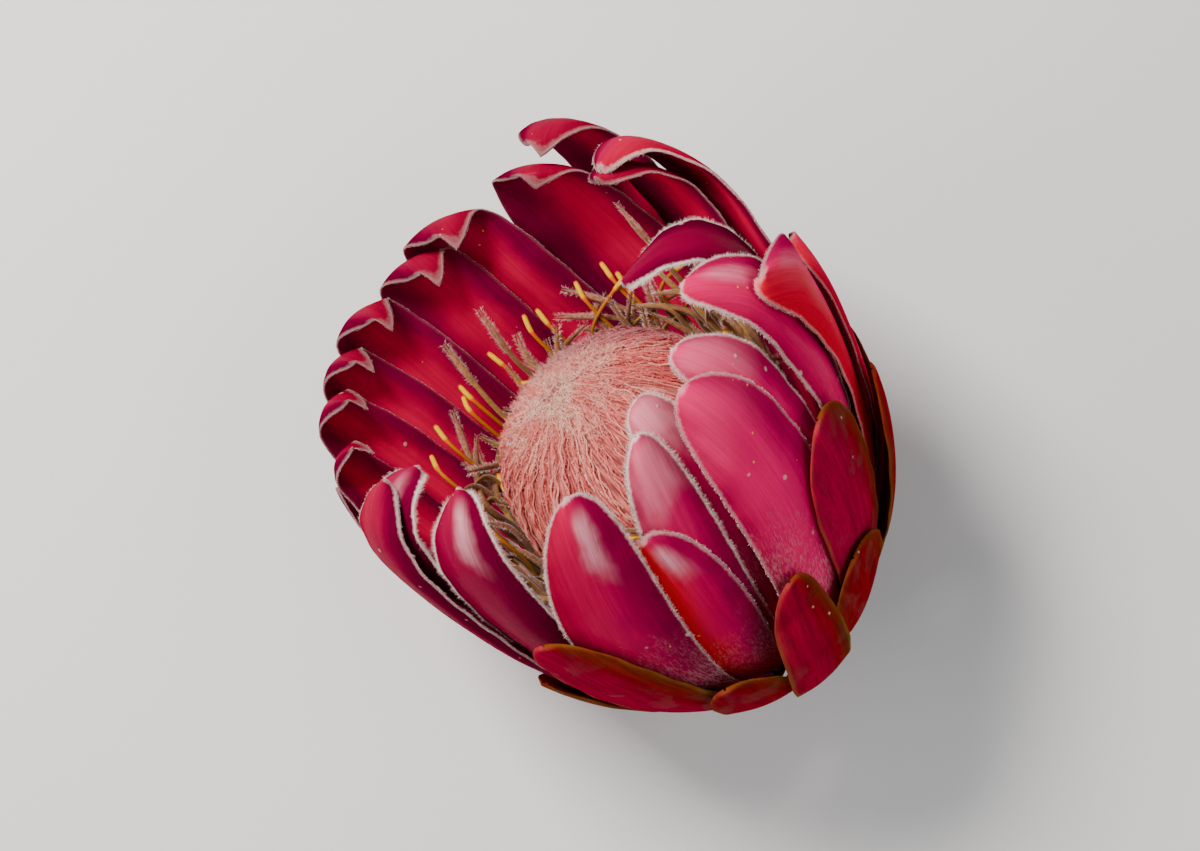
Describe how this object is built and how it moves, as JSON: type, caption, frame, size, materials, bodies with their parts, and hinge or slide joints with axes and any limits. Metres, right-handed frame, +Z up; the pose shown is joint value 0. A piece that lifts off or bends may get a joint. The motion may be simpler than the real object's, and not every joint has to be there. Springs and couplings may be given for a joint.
{
  "type": "protea flower",
  "caption": "A cut protea flower head with glossy crimson bracts edged in white hair round a pink dome of closed florets, lying on its side.",
  "frame": {"origin": "middle of the footprint, on the surface that the flower lies on", "axes": "+X the way the mouth of the head points, +Y across it, +Z up"},
  "size_m": [0.0942, 0.079, 0.0814],
  "materials": {
    "bract_red": "smooth waxy bract with white silky hair along its margins",
    "basal_red": "satin bract with a yellow-green edge",
    "seat_brown": "dull bark",
    "dome_pink": "combed silky hair",
    "floret_gold": "dull straw with yellow tips"
  },
  "bodies": {
    "root": {"receptacle": "seat_brown", "floret_dome": "dome_pink", "open_florets": "floret_gold", "right_bract_2": "bract_red", "right_bract_1": "bract_red", "right_bract_3": "bract_red", "near_bract_1": "bract_red", "near_bract_4": "bract_red", "left_bract_3": "bract_red", "far_bract_2": "bract_red", "under_bract_1": "bract_red", "under_bract_2": "bract_red", "under_bract_3": "bract_red", "under_bract_4": "bract_red", "left_bract_4": "bract_red", "right_bract_4": "bract_red", "near_bract_5": "bract_red", "near_bract_6": "bract_red", "left_bract_1": "bract_red", "near_bract_3": "bract_red", "near_bract_2": "bract_red", "left_bract_2": "bract_red", "right_bract_5": "bract_red", "right_bract_6": "bract_red", "far_bract_1": "bract_red", "far_bract_3": "bract_red", "far_bract_4": "bract_red", "far_bract_5": "bract_red", "far_bract_6": "bract_red", "far_bract_7": "bract_red", "left_bract_5": "bract_red", "basal_bract_1": "basal_red", "basal_bract_2": "basal_red", "basal_bract_3": "basal_red", "basal_bract_4": "basal_red", "basal_bract_5": "basal_red", "basal_bract_6": "basal_red", "basal_bract_7": "basal_red", "basal_bract_8": "basal_red", "basal_bract_9": "basal_red", "basal_bract_10": "basal_red", "basal_bract_11": "basal_red", "basal_bract_12": "basal_red"}
  },
  "joints": []
}
